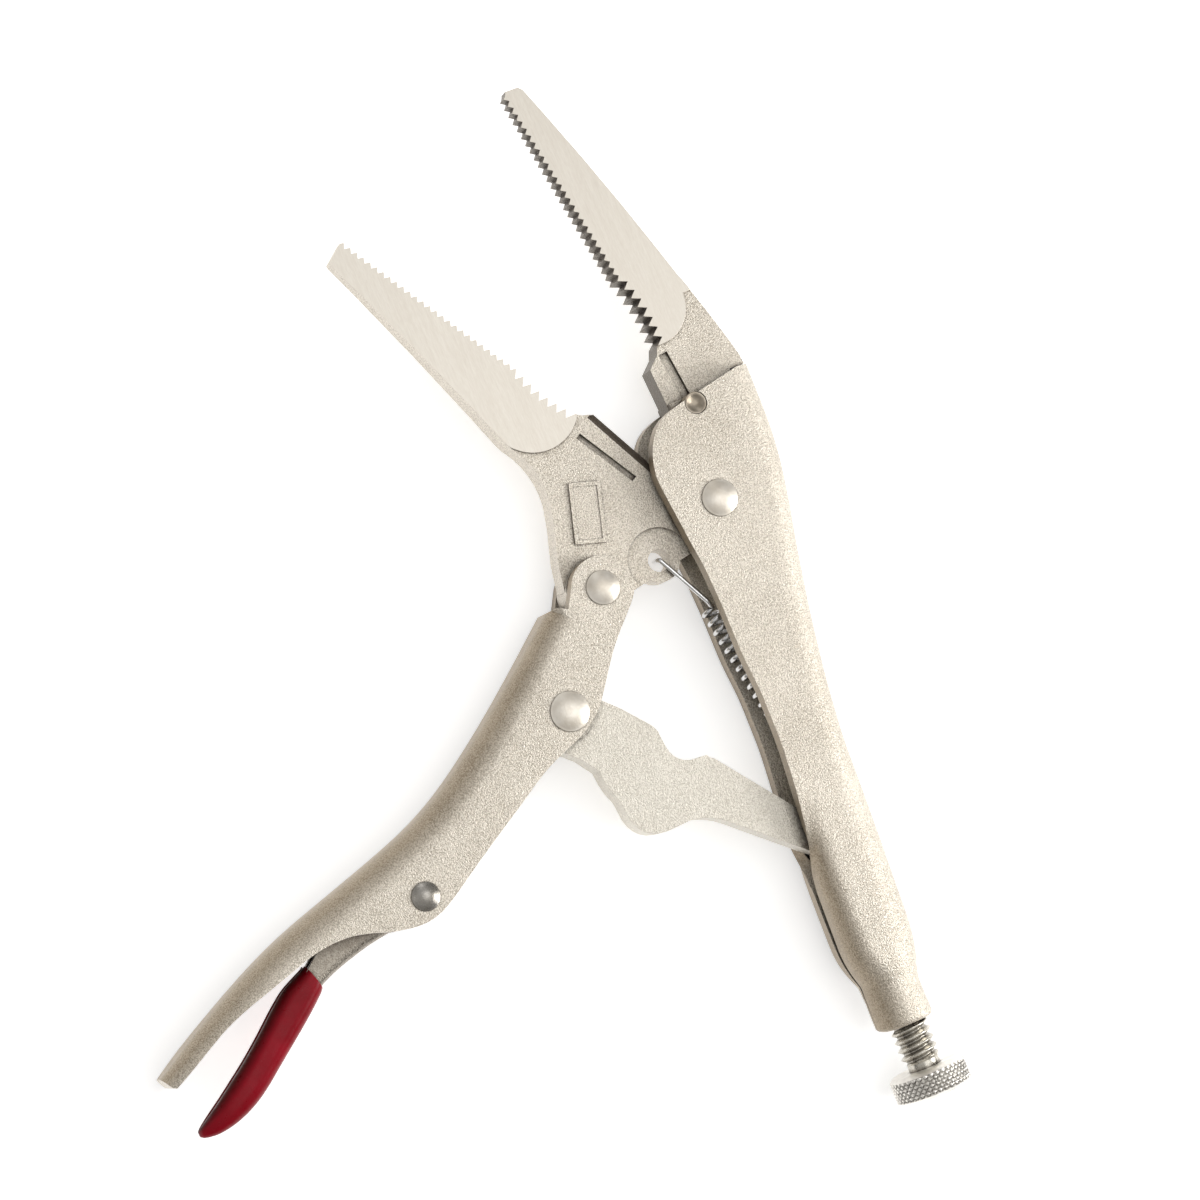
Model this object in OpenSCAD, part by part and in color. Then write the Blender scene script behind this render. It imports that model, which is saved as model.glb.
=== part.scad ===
// Long-nose locking pliers, lying on their side with the jaws sprung open.
// The design frame has its origin on the jaw pivot at mid width: +X runs up the
// adjusting screw towards the jaws, +Y towards the moving lever, and Z is the
// rivet direction. place() then sets the finished tool on the floor, centred.

/* [Pressed handles] */
// Width over the two flanges of either handle
handle_w = 12.5; // [12:0.1:13.2]
// Thickness of the pressed steel
sheet_t = 2.7; // [2.4:0.05:2.8]
// Distance from the jaw pivot to the end of the threaded collar
collar_end = 88.8; // [87:0.1:91]
// Outer diameter of the threaded collar
collar_d = 9.3; // [8.8:0.1:9.8]
// Height of the screw axis above the jaw pivot, towards the lever
screw_y = 2.0; // [1.6:0.1:2.4]

/* [Jaws] */
// Thickness of the forged jaw bodies
jaw_body_t = 5.0; // [4.6:0.1:5.4]
// Thickness of the ground blades at their root
blade_root_t = 5.8; // [5.6:0.1:6.2]
// Thickness of the ground blades at their tip
blade_tip_t = 2.6; // [2.2:0.1:3]
// Thickness of the bosses on the moving jaw
jaw_boss_t = 6.4; // [6.2:0.1:6.6]
// Radius of the hub of the moving jaw round its pivot
hub_r = 7.5; // [7.2:0.1:7.7]

/* [Teeth] */
// Number of fine teeth on each jaw
fine_teeth = 26; // [20:1:30]
// Depth of a fine tooth
fine_depth = 0.75; // [0.5:0.05:0.9]
// Number of coarse teeth on each jaw
coarse_teeth = 7; // [5:1:8]
// Depth of a coarse tooth
coarse_depth = 1.35; // [1:0.05:1.6]
// Depth of the hollow that the coarse teeth follow
pipe_hollow = 0.6; // [0.3:0.05:0.8]

/* [Rivets] */
// Radius of the head of the jaw pivot
pivot_head_r = 3.0; // [2.8:0.05:3.2]
// Radius of the head of the lever pivot
lever_head_r = 2.75; // [2.6:0.05:2.9]
// Radius of the head of the link pivot
link_head_r = 3.2; // [3:0.05:3.4]
// Radius of the head of the release pivot
release_head_r = 2.3; // [2.1:0.05:2.5]
// Radius of the rivet that holds the fixed jaw
jaw_rivet_r = 1.8; // [1.6:0.05:1.9]
// Height of a rivet head
rivet_dome = 1.0; // [0.8:0.05:1.2]
// Radial running clearance round each rivet
running_gap = 0.05; // [0.03:0.01:0.09]

/* [Linkage] */
// Thickness of the toggle link
link_t = 4.8; // [4.4:0.1:5.2]
// Radius of the bearing end of the toggle link
link_end_r = 2.0; // [1.8:0.1:2.1]
// Diameter of the coil of the opening spring
coil_d = 3.6; // [3.2:0.1:3.8]

/* [Release lever] */
// Width of the release lever
release_w = 5.2; // [5:0.1:5.4]
// Thickness of the release lever's sheet
release_t = 1.4; // [1.2:0.1:1.6]
// Thickness of the dipped grip on the release lever
grip_t = 0.65; // [0.5:0.05:0.7]

/* [Adjusting screw] */
// Outer diameter of the thread
thread_d = 6.35; // [6.3:0.01:6.4]
// Pitch of the thread
thread_pitch = 1.4; // [1.2:0.05:1.6]
// Distance from the jaw pivot to the tip of the screw
screw_tip = 65.4; // [65.2:0.1:67]
// Distance from the jaw pivot to the inner face of the knurled head
head_start = 96.4; // [94:0.1:97]
// Diameter of the knurled head
head_d = 12.7; // [12:0.1:13]
// Thickness of the knurled head
head_t = 4.5; // [4:0.1:5]

/* [Hidden] */
$fn = 64;

// Length of cuts that pass right through the tool
through = 20;

// Radii of the rivet shanks
pivot_shank_r = 2.2;
lever_shank_r = 2;
link_shank_r = 2.3;
release_shank_r = 1.6;

// Pivots and other places in the design frame
lever_pivot = [-6.4, 23.5];
link_pivot = [-22.5, 36];
release_pivot = [-40.5, 68.3];
jaw_rivet_at = [15.5, -2.3];
spring_hole = [-5.6, 12];
link_end = [-59, 2];

half_w = handle_w / 2;
inner_w = half_w - sheet_t;
head_end = head_start + head_t;

// Outermost places of the tool: jaw tip, back of the handle, tail of the lever, and the
// height at which it rests on its rivet heads
tip_x = 73.3;
back_y = -13.8;
tail_y = 116;
rest_z = half_w + rivet_dome;

// Radius of the bends between web and flanges
handle_bend = 3.6;
lever_bend = 3;

// How far the bars of a channel, and those of its hollow, run past a corner of the web
outer_lap = 2;
hollow_lap = 2.7;

// Sections are over-wide and over-high by these amounts, and are trimmed afterwards
flank_extra = 1;
section_reach = 30;

nickel = [0.80, 0.77, 0.71];
dark_steel = [0.45, 0.45, 0.44];
zinc = [0.75, 0.78, 0.80];
vinyl = [0.66, 0.06, 0.12];

module place() {
    translate([(head_end - tip_x) / 2, -(back_y + tail_y) / 2, rest_z])
        children();
}

// ---- shared functions ----

// Points from p to q along a shallow arc that bows sag to the left of p-q
function bow(p, q, sag, n = 6) =
    let (d = q - p, len = norm(d), left = [-d.y, d.x] / len)
    [for (i = [0:n]) let (s = i / n) p + d * s + left * sag * 4 * s * (1 - s)];

// Sawtooth points from p to q: crests on the line, roots depth to the left
function teeth(p, q, n, depth, hollow = 0) =
    let (d = q - p, len = norm(d), left = [-d.y, d.x] / len)
    [for (i = [0:2 * n - 1])
        let (s = i / (2 * n), dip = hollow * sin(180 * s))
        p + d * s + left * (dip + (i % 2 == 1 ? depth : 0))];

// One half of a handle's section seen along it, x up from the web: a bend of radius r
// in two flats, whose second one runs on past the flank
function bend(r) = [
    [0, half_w - r],
    [r * (1 - cos(45)), half_w - r * (1 - cos(45))],
    [r + flank_extra / tan(22.5), half_w + flank_extra]
];

// Section whose one half runs along the points of side
module both_halves(side) {
    polygon(concat(side, [for (i = [len(side) - 1:-1:0]) [side[i].x, -side[i].y]]));
}

// Section of an open channel
module open_section(r) {
    both_halves(concat(bend(r), [[section_reach, half_w + flank_extra]]));
}

// Section of a closed tube of height h
module tube_section(h, r) {
    low = bend(r);
    both_halves(concat(low, [for (i = [2:-1:0]) [h - low[i].x, low[i].y]]));
}

// Section of the space above a web
module hollow_section() {
    translate([sheet_t, -half_w])
        square([section_reach, handle_w]);
}

// Carries a section from p to q, with its x axis to the left of that line
module bar(p, q, lap_p, lap_q) {
    d = q - p;
    translate([p.x, p.y, 0])
        rotate([0, 0, atan2(d.y, d.x)])
            translate([-lap_p, 0, 0])
                rotate([90, 0, 90])
                    linear_extrude(lap_p + norm(d) + lap_q)
                        children();
}

// Carries a section along a web line from its corner number first onwards. Its bars
// run lap past a corner where the line turns right, so that the flanges close there
module along(web, lap, first = 0) {
    last = len(web) - 1;
    laps = [for (i = [0:last])
        i > 0 && i < last && cross(web[i] - web[i - 1], web[i + 1] - web[i]) > 0 ? lap / 8 : lap];
    for (i = [first:last - 1])
        bar(web[i], web[i + 1], laps[i], laps[i + 1])
            children();
}

// Flat piece of thickness t at mid width
module plate(t) {
    translate([0, 0, -t / 2])
        linear_extrude(t)
            children();
}

// Round hole through the tool along the rivets
module bore(at, r) {
    translate([at.x, at.y, -through / 2])
        cylinder(r = r, h = through);
}

// Rivet with a domed head on both sides
module rivet(at, shank_r, head_r) {
    dome_r = (head_r * head_r + rivet_dome * rivet_dome) / (2 * rivet_dome);
    translate([at.x, at.y, 0])
        rotate_extrude()
            union() {
                translate([0, -half_w])
                    square([shank_r, handle_w]);
                for (side = [-1, 1])
                    intersection() {
                        translate([0, side * (half_w + rivet_dome - dome_r)])
                            circle(dome_r, $fn = 160);
                        translate([0, side > 0 ? half_w : -half_w - rivet_dome])
                            square([head_r, rivet_dome]);
                    }
            }
}

// Wedge that tapers a blade from its root to its tip along direction angle
module taper(root, angle, length) {
    slope = (blade_root_t - blade_tip_t) / 2 / length;
    translate([root.x, root.y, 0])
        rotate([90, 0, angle])
            linear_extrude(60, center = true)
                polygon([
                    [-15, blade_root_t / 2 + 15 * slope], [-15, -blade_root_t / 2 - 15 * slope],
                    [length + 5, -blade_tip_t / 2 + 5 * slope],
                    [length + 5, blade_tip_t / 2 - 5 * slope]]);
}

// ---- fixed side ----

// Corners of the web line of the fixed handle: collar end, two bends, jaw end
handle_web = [[-84, -4.25], [-36.3, -5.8], [7.3, -13.7], [19, -13.8]];

// Closed tube at the collar end: its length and height, the solid end that holds the
// nut thread, and the width of the seam where the flanges meet
tube_length = 22;
tube_h = 12.6;
tube_end = 8;
seam_start = 4;
seam_w = 0.4;

// Tab that holds the spring's rear hook
tab_at = [-45.4, -4];
tab_size = [1.6, 6.5, 3];
tab_hole_y = 1.2;
tab_hole_r = 0.7;

// Clearance of the thread in the collar
thread_gap = 0.08;

// Places things along the line of the closed tube, with x = 0 at its collar end
module on_tube() {
    d = handle_web[1] - handle_web[0];
    translate([handle_web[0].x, handle_web[0].y, 0])
        rotate([0, 0, atan2(d.y, d.x)])
            children();
}

// Side view of the fixed handle, with the top line of its flanges
module handle_side() {
    polygon(concat(
        [[18.7, -20], [18.7, -12.5]],
        bow([18.6, -11], [15.8, 2.1], 0.25, 5),
        bow([15, 4.2], [8.6, 8.3], 1.2, 8),
        bow([5.5, 8.5], [-24, 6], -0.5, 6),
        bow([-31, 5.8], [-63, 7.7], -0.4, 5),
        [[-63, 12], [-shoulder_end, 12], [-shoulder_end, -20]]));
}

// Distance from the pivot and radius along the round shoulder that draws the closed
// tube in to the threaded collar
shoulder_end = 82.6;
shoulder_start = 67;
shoulder_profile = [[shoulder_end, 4.5], [78.4, 5.6], [73.5, 6.5], [shoulder_start, 7.8]];

// The shoulder, and everything in front of it
module shoulder() {
    translate([0, screw_y, 0])
        rotate([0, -90, 0])
            for (i = [0:2])
                translate([0, 0, shoulder_profile[i + 1][0]])
                    cylinder(
                        r1 = shoulder_profile[i + 1][1],
                        r2 = shoulder_profile[i][1],
                        h = shoulder_profile[i][0] - shoulder_profile[i + 1][0]);
    translate([-shoulder_start, -30, -10])
        cube([100, 60, 20]);
}

// Tab lanced from the web, with the hole that the spring's rear hook holds
module spring_tab() {
    difference() {
        translate([tab_at.x, tab_at.y, -tab_size.z / 2])
            cube(tab_size);
        translate([tab_at.x - 1, tab_hole_y, 0])
            rotate([0, 90, 0])
                cylinder(r = tab_hole_r, h = tab_size.x + 2);
    }
}

// Carries a section along the web, from the end of the closed tube to the jaw end
module along_channel(lap) {
    along(handle_web, lap, 1)
        children();
    on_tube()
        translate([tube_length - 0.2, 0, 0])
            rotate([90, 0, 90])
                linear_extrude(norm(handle_web[1] - handle_web[0]) - tube_length + lap)
                    children();
}

// Outer form of the pressed handle
module handle_form() {
    intersection() {
        union() {
            on_tube()
                rotate([90, 0, 90])
                    linear_extrude(tube_length)
                        tube_section(tube_h, handle_bend);
            along_channel(outer_lap)
                open_section(handle_bend);
        }
        plate(handle_w)
            handle_side();
        shoulder();
    }
}

// Space inside the handle: the channel, the closed tube and its seam
module handle_hollow() {
    intersection() {
        along_channel(hollow_lap)
            hollow_section();
        translate([-90, -30, -inner_w])
            cube([120, 60, 2 * inner_w]);
    }
    on_tube() {
        translate([tube_end, sheet_t, -inner_w])
            cube([tube_length - tube_end + 1, tube_h - 2 * sheet_t, 2 * inner_w]);
        translate([seam_start, 7, -seam_w / 2])
            cube([tube_length - seam_start + 1, 8, seam_w]);
    }
}

module fixed_handle() {
    color(nickel)
    place()
        union() {
            difference() {
                union() {
                    handle_form();
                    translate([-collar_end, screw_y, 0])
                        rotate([0, 90, 0])
                            cylinder(d = collar_d, h = 12);
                }
                handle_hollow();
                bore([0, 0], pivot_shank_r);
                bore(jaw_rivet_at, jaw_rivet_r);
                translate([-collar_end - 1, screw_y, 0])
                    rotate([0, 90, 0])
                        cylinder(r = thread_d / 2 + thread_gap, h = 16);
            }
            spring_tab();
        }
}

// Outline of the fixed jaw from the tip round the back, the tang and the teeth
module upper_outline() {
    polygon(concat(
        bow([72.7, 3.3], [36.2, -8.7], 0.4, 8),
        bow([35.6, -8.95], [20.7, -13.4], 0.15, 5),
        [[18.9, -13.6], [18.9, -11], [5, -9.6], [4, 1.2], [16.5, 1.2], [23.2, 1.6], [25, -0.4]],
        teeth([26.4, -0.98], [38.4, 1.1], coarse_teeth, -coarse_depth, -pipe_hollow),
        teeth([38.4, 1.1], [72.2, 6.95], fine_teeth, -fine_depth),
        bow([72.2, 6.95], [73.3, 6.2], -0.12, 3),
        [[73.3, 3.9]]));
}

// Side view of the ground blade: all beyond its rounded root
module upper_blade_area() {
    union() {
        translate([33, -1.8])
            circle(6.6);
        translate([33, -20])
            square([60, 40]);
    }
}

module upper_jaw() {
    color(nickel)
    place()
        difference() {
            union() {
                intersection() {
                    plate(through)
                        intersection() {
                            upper_outline();
                            upper_blade_area();
                        }
                    taper([28, 0], 5, 45);
                }
                plate(jaw_body_t)
                    intersection() {
                        upper_outline();
                        translate([-20, -20])
                            square([56, 40]);
                    }
                // tang that fills the space between the flanges
                plate(2 * inner_w - 0.1)
                    intersection() {
                        upper_outline();
                        translate([-20, -11])
                            square([37, 12.1]);
                    }
            }
            // clearance for the hub of the moving jaw
            bore([0, 0], hub_r + 0.5);
            bore(jaw_rivet_at, jaw_rivet_r);
            // grooves that set off the wire cutter
            for (side = [-1, 1])
                translate([16, -3.3, side * jaw_body_t / 2 - 0.6])
                    rotate([0, 0, 7])
                        cube([9.2, 1.5, 1.2]);
        }
}

module upper_jaw_rivet() {
    color(nickel)
    place()
        translate([jaw_rivet_at.x, jaw_rivet_at.y, 0])
            difference() {
                cylinder(r = jaw_rivet_r, h = handle_w - 0.3, center = true);
                for (side = [-1, 1])
                    translate([0, 0, side * (half_w + 0.65)])
                        sphere(r = 1.7);
            }
}

module jaw_pivot_rivet() {
    color(nickel)
    place()
        rivet([0, 0], pivot_shank_r, pivot_head_r);
}

// ---- moving jaw ----

// Width left at the edge of the wire cutter
cutter_edge = 3.2;

// Raised pad: its centre, direction and height
pad_at = [5.6, 20.2];
pad_turn = -16;
pad_rise = 0.4;

// Centre of the blade's rounded root, and direction of the blade
lower_root = [24.7, 22.2];
lower_turn = 30;

// Outline of the moving jaw from the tip round the back, the hub, the cutter and the teeth
module lower_outline() {
    polygon(concat(
        [[57.1, 43.7]],
        bow([56.6, 43.6], [21, 28.6], 0.3, 6),
        bow([19.6, 27.9], [9.4, 25.2], 1.0, 6),
        [[5.7, 26], [0, 27.7], [-4.8, 28.5], [-9, 20], [-6, 4.5], [0, 0], [5.75, 4.82], [8.2, 7],
            [10, 7.6], [19.9, 12.9], [20.3, 14.8]],
        teeth([20.9, 16], [31, 22.1], coarse_teeth, coarse_depth, pipe_hollow),
        teeth([31, 22.1], [59.3, 40.2], fine_teeth, fine_depth),
        [[59.3, 40.2], [59.4, 40.9]]));
}

// Side view of the ground blade: all beyond its rounded root
module lower_blade_area() {
    translate(lower_root) {
        circle(7.6);
        rotate(lower_turn)
            translate([0, -20])
                square([60, 40]);
    }
}

module lower_jaw() {
    color(nickel)
    place()
        difference() {
            union() {
                intersection() {
                    plate(through)
                        intersection() {
                            lower_outline();
                            lower_blade_area();
                        }
                    taper([20, 20], lower_turn, 43);
                }
                plate(jaw_body_t)
                    difference() {
                        union() {
                            lower_outline();
                            translate(spring_hole)
                                circle(3.5);
                        }
                        translate(lower_root)
                            rotate(lower_turn)
                                translate([4, -20])
                                    square([60, 40]);
                    }
                plate(jaw_boss_t) {
                    circle(hub_r);
                    translate(lever_pivot)
                        circle(5.2);
                }
                // raised pad on both sides
                translate([pad_at.x, pad_at.y, 0])
                    rotate([0, 0, pad_turn])
                        cube([9.8, 5.2, jaw_body_t + 2 * pad_rise], center = true);
            }
            bore([0, 0], pivot_shank_r + running_gap);
            bore(lever_pivot, lever_shank_r + running_gap);
            // recessed lug and hole for the spring
            bore(spring_hole, 1.8);
            for (side = [-1, 1]) {
                translate([spring_hole.x, spring_hole.y, side * (jaw_body_t / 2 + 4.1)])
                    cylinder(r = 5.3, h = 9.2, center = true);
                // shallow field within the pad
                translate([pad_at.x, pad_at.y, side * (jaw_body_t / 2 + 0.5)])
                    rotate([0, 0, pad_turn])
                        cube([8.6, 4, 0.5], center = true);
                // groove below the wire cutter, and its narrow cutting edge
                translate([8.2, 10.4, side * jaw_body_t / 2 - 0.6])
                    rotate([0, 0, 32])
                        cube([11.3, 1, 1.2]);
                translate([8.6, 6.2, side * (cutter_edge / 2 + 5)])
                    rotate([0, 0, 28])
                        translate([6.8, -0.05, 0])
                            cube([13.6, 3.1, 10], center = true);
            }
        }
}

// ---- lever ----

// Corners of the lever's web line, from the pivot end to the tail
lever_web = [[-7.2, 33.3], [-25.8, 57.4], [-29.9, 65.3], [-38.3, 92.5], [-53.2, 117.7]];

// Open edge of the lever's flanges, from the tail to the pivot end
lever_edge = [
    [-52.9, 114.4], [-49.6, 108.4], [-46.7, 102.9], [-44, 93.7], [-42, 87.5], [-41.6, 82.5],
    [-42.4, 78.4], [-43.8, 74.4], [-44.4, 70.9], [-44.2, 68.2], [-43.1, 65.3], [-38.2, 57.6],
    [-33.1, 48.9], [-29.8, 43.5], [-28.1, 39.5], [-26.7, 35.5], [-24.6, 32.3], [-22.7, 30.5],
    [-18.2, 27.3], [-15.2, 25], [-8.7, 19]
];

// Side view that trims the lever's channel
module lever_side() {
    polygon(concat(
        [[-7.8, 30.2], [-6.9, 31.6], [-4, 38], [-18, 70], [-38, 116], [-50.8, 116]],
        lever_edge));
}

// Ears that carry the lever's eyes, beyond the end of its web
module lever_ears() {
    union() {
        translate(lever_pivot)
            circle(5.1);
        polygon([[-8.7, 19], [-3.4, 27.6], [-7.8, 30.2], [-14, 32], [-22.7, 30.5], [-15.2, 25]]);
    }
}

module lever_handle() {
    color(nickel)
    place()
        difference() {
            union() {
                intersection() {
                    along(lever_web, outer_lap)
                        open_section(lever_bend);
                    plate(handle_w)
                        lever_side();
                }
                plate(handle_w)
                    lever_ears();
            }
            intersection() {
                along(lever_web, hollow_lap)
                    hollow_section();
                translate([-80, 32, -inner_w])
                    cube([90, 90, 2 * inner_w]);
            }
            // fork between the eyes
            plate(2 * inner_w)
                polygon([[-7.8, 30.2], [-10, 34], [-30, 34], [-30, 10], [5, 10], [5, 30]]);
            bore(lever_pivot, lever_shank_r);
            bore(link_pivot, link_shank_r);
            bore(release_pivot, release_shank_r);
        }
}

module lever_pivot_rivet() {
    color(nickel)
    place()
        rivet(lever_pivot, lever_shank_r, lever_head_r);
}

module link_pivot_rivet() {
    color(nickel)
    place()
        rivet(link_pivot, link_shank_r, link_head_r);
}

module release_pivot_rivet() {
    color(dark_steel)
    place()
        rivet(release_pivot, release_shank_r, release_head_r);
}

// ---- toggle link ----

module toggle_link() {
    color(nickel)
    place()
        difference() {
            union() {
                plate(link_t)
                    union() {
                        translate(link_pivot)
                            circle(6);
                        translate(link_end)
                            circle(link_end_r);
                        polygon(concat(
                            [[-22.7, 29.6], [-25, 27.2]],
                            bow([-29.2, 23.6], [-31.6, 22.8], 0.25, 3),
                            bow([-33.4, 22.6], [-36.9, 18.8], -1, 6),
                            bow([-37, 16.9], [-38, 15.9], -0.15, 2),
                            [[-57.6, 0.6], [-60.4, 3.5]],
                            bow([-48.2, 17.5], [-45.6, 22.9], -0.4, 4),
                            bow([-45.8, 27.4], [-41.6, 32.6], 1.3, 6),
                            bow([-38.6, 32.9], [-33, 34.2], 0.3, 3),
                            [[-30.2, 36.2], [-26, 40.8], [-18, 37]]));
                    }
                // bosses that centre the link between the flanges
                translate([link_pivot.x, link_pivot.y, 0])
                    cylinder(r = 4.6, h = jaw_boss_t, center = true);
            }
            bore(link_pivot, link_shank_r + running_gap);
        }
}

// ---- release lever ----

// Outline of the release lever from its nose along the outer side to the tail and back
release_outline = concat(
    [[-31.6, 58.8]],
    bow([-38.6, 64.2], [-43.8, 73.6], -1, 5),
    bow([-43.9, 76], [-46.5, 86.6], -0.4, 5),
    [[-47.6, 88.7], [-50.6, 91.9], [-59.1, 103.4], [-60.3, 106.6], [-61, 110.4], [-60.8, 112]],
    [[-59.8, 111.2]],
    bow([-58.2, 108.3], [-48.5, 95.6], 0.4, 5),
    bow([-45.4, 92], [-41, 85], -0.2, 4),
    bow([-38.8, 79], [-33.6, 62.6], 0.4, 5),
    [[-30.6, 59.6]]);

module release_lever() {
    color(nickel)
    place()
        difference() {
            union() {
                plate(release_w)
                    polygon(release_outline);
                // bosses that centre it between the flanges of the lever
                translate([release_pivot.x, release_pivot.y, 0])
                    cylinder(r = 3, h = release_w + 1.5, center = true);
            }
            // hollow side that faces the lever's web
            plate(release_w - 2 * release_t)
                polygon([
                    [-34.6, 63.4], [-39, 66.2], [-42.2, 70], [-42.4, 75], [-45, 87],
                    [-57.4, 102.8], [-59.6, 110], [-52, 112], [-30, 88], [-28, 66]]);
            bore(release_pivot, release_shank_r + running_gap);
        }
}

// Outline of the dipped grip, which covers the tail of the release lever
grip_outline = concat(
    [[-43.7, 89.3], [-47.6, 88], [-48.9, 88.3]],
    [[-51, 91.1], [-60, 103.2], [-61.3, 106.5], [-62.1, 110.2], [-61.9, 112.6]],
    [[-61.4, 113.3], [-60.6, 113.4], [-59.6, 112.2]],
    bow([-57.9, 109.5], [-48.2, 96.8], 0.4, 5),
    bow([-46.4, 94.6], [-44, 90.9], -0.2, 4));

module release_grip() {
    color(vinyl)
    place()
        difference() {
            plate(release_w + 2 * grip_t)
                polygon(grip_outline);
            plate(release_w)
                polygon(release_outline);
        }
}

// ---- spring and screw ----

// Ends of the coil, wire radius, height of the front hook above mid width, and the reach
// of the rear hook behind the coil
coil_front = [-15.7, 6.5];
coil_back = [-42.4, 1.6];
wire_r = 0.4;
hook_z = 2.65;
rear_reach = 3.6;

module wire(length) {
    rotate([0, 90, 0])
        cylinder(r = wire_r, h = length);
}

// Opening spring: its coil, the front hook that drops into the jaw's hole, and
// the rear hook that passes through the tab
module tension_spring() {
    hook = spring_hole - coil_front;
    coil = coil_front - coil_back;
    color(zinc)
    place()
        union() {
            translate([coil_back.x, coil_back.y, 0])
                rotate([0, 0, atan2(coil.y, coil.x)]) {
                    rotate([0, 90, 0])
                        cylinder(d = coil_d, h = norm(coil));
                    translate([-rear_reach, 0, 0])
                        wire(rear_reach + 0.4);
                    translate([-rear_reach, 0, -1.2])
                        cylinder(r = wire_r, h = 2.4);
                }
            translate([coil_front.x, coil_front.y, 0])
                rotate([0, 0, atan2(hook.y, hook.x)]) {
                    translate([-0.3, 0, 0])
                        cylinder(r = wire_r, h = hook_z);
                    translate([-0.3, 0, hook_z])
                        sphere(r = wire_r);
                    translate([-0.3, 0, hook_z])
                        wire(norm(hook) + 0.3);
                    translate([norm(hook), 0, hook_z])
                        sphere(r = wire_r);
                    translate([norm(hook), 0, -0.6])
                        cylinder(r = wire_r, h = hook_z + 0.6);
                }
        }
}

// Screw with ring-shaped thread crests, a chamfered tip and a plain neck below the head
module adjusting_screw() {
    crest_r = thread_d / 2;
    root_r = crest_r - 0.75;
    neck_r = 2.65;
    length = head_start - screw_tip;
    color(nickel)
    place()
        translate([-screw_tip, screw_y, 0])
            rotate([0, -90, 0])
                rotate_extrude()
                    polygon(concat(
                        [[0, 0], [crest_r - 1, 0]],
                        [for (z = [0:thread_pitch:length - 3]) for (k = [0, 1])
                            [k == 0 ? root_r : crest_r, z + 0.6 + k * thread_pitch / 2]],
                        [[neck_r, length - 1.6], [neck_r, length], [0, length]]));
}

module screw_head() {
    color(nickel)
    place()
        translate([-head_end, screw_y, 0])
            rotate([0, 90, 0])
                rotate_extrude()
                    polygon([
                        [0, 0], [head_d / 2 - 0.7, 0], [head_d / 2, 0.6],
                        [head_d / 2, head_t - 0.3], [head_d / 2 - 0.3, head_t], [0, head_t]]);
}

fixed_handle();
upper_jaw();
upper_jaw_rivet();
lower_jaw();
jaw_pivot_rivet();
lever_handle();
lever_pivot_rivet();
toggle_link();
link_pivot_rivet();
release_lever();
release_grip();
release_pivot_rivet();
tension_spring();
adjusting_screw();
screw_head();
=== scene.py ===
"""Looks of the long-nose locking pliers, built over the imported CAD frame."""
from math import acos, cos, floor, pi, radians, sin

import bmesh
import bpy
from mathutils import Matrix, Vector
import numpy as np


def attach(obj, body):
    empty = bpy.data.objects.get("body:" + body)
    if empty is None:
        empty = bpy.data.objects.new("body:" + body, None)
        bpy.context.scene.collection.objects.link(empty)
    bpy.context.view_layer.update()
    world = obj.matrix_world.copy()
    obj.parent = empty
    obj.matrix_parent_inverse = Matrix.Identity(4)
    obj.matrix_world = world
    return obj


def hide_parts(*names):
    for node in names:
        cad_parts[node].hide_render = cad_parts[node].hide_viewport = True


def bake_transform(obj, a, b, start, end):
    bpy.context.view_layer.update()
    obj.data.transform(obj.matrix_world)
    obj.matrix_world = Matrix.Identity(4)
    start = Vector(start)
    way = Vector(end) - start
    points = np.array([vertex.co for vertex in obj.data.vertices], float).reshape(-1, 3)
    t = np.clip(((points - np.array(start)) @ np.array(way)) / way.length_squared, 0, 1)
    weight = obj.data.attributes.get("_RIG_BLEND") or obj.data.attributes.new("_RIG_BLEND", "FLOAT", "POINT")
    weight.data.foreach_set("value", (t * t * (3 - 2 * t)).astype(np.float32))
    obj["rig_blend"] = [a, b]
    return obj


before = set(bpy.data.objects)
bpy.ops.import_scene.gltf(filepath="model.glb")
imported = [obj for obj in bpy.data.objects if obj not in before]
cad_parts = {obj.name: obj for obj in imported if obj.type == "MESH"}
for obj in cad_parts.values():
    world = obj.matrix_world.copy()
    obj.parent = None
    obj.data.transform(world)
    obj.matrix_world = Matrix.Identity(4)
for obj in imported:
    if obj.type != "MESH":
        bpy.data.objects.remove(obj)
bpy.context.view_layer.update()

MM = 0.001
# Where the jaw pivot of the design frame lies in the row frame, in millimetres
PIVOT_AT = (13.8, -51.1, 7.25)
HALF_WIDTH = 6.25
SHEET = 2.7
SCREW_Y = 2.0
# Places of the rivets in the design frame
JAW_PIVOT = (0.0, 0.0)
JAW_RIVET = (15.5, -2.3)
LEVER_PIVOT = (-6.4, 23.5)
LINK_PIVOT = (-22.5, 36.0)
RELEASE_PIVOT = (-40.5, 68.3)


def row(x, y, z=0.0):
    """A point of the design frame in millimetres, as a point of the row frame in metres."""
    return Vector(((x + PIVOT_AT[0]) * MM, (y + PIVOT_AT[1]) * MM, (z + PIVOT_AT[2]) * MM))


# ---- camera ----

# Fitted to the view of the photograph
CAMERA_AT = (-0.0076, 0.1364, 0.5842)
CAMERA_RIGHT = Vector((-0.37552, -0.89354, 0.2461))
CAMERA_DOWN = Vector((-0.92654, 0.3555, -0.1231))
CAMERA_FORWARD = Vector((0.02246, -0.27423, -0.9614))
CAMERA_LENS = 113.4
CAMERA_SENSOR = 36.0
CAMERA_CLIP = 0.02


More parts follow.
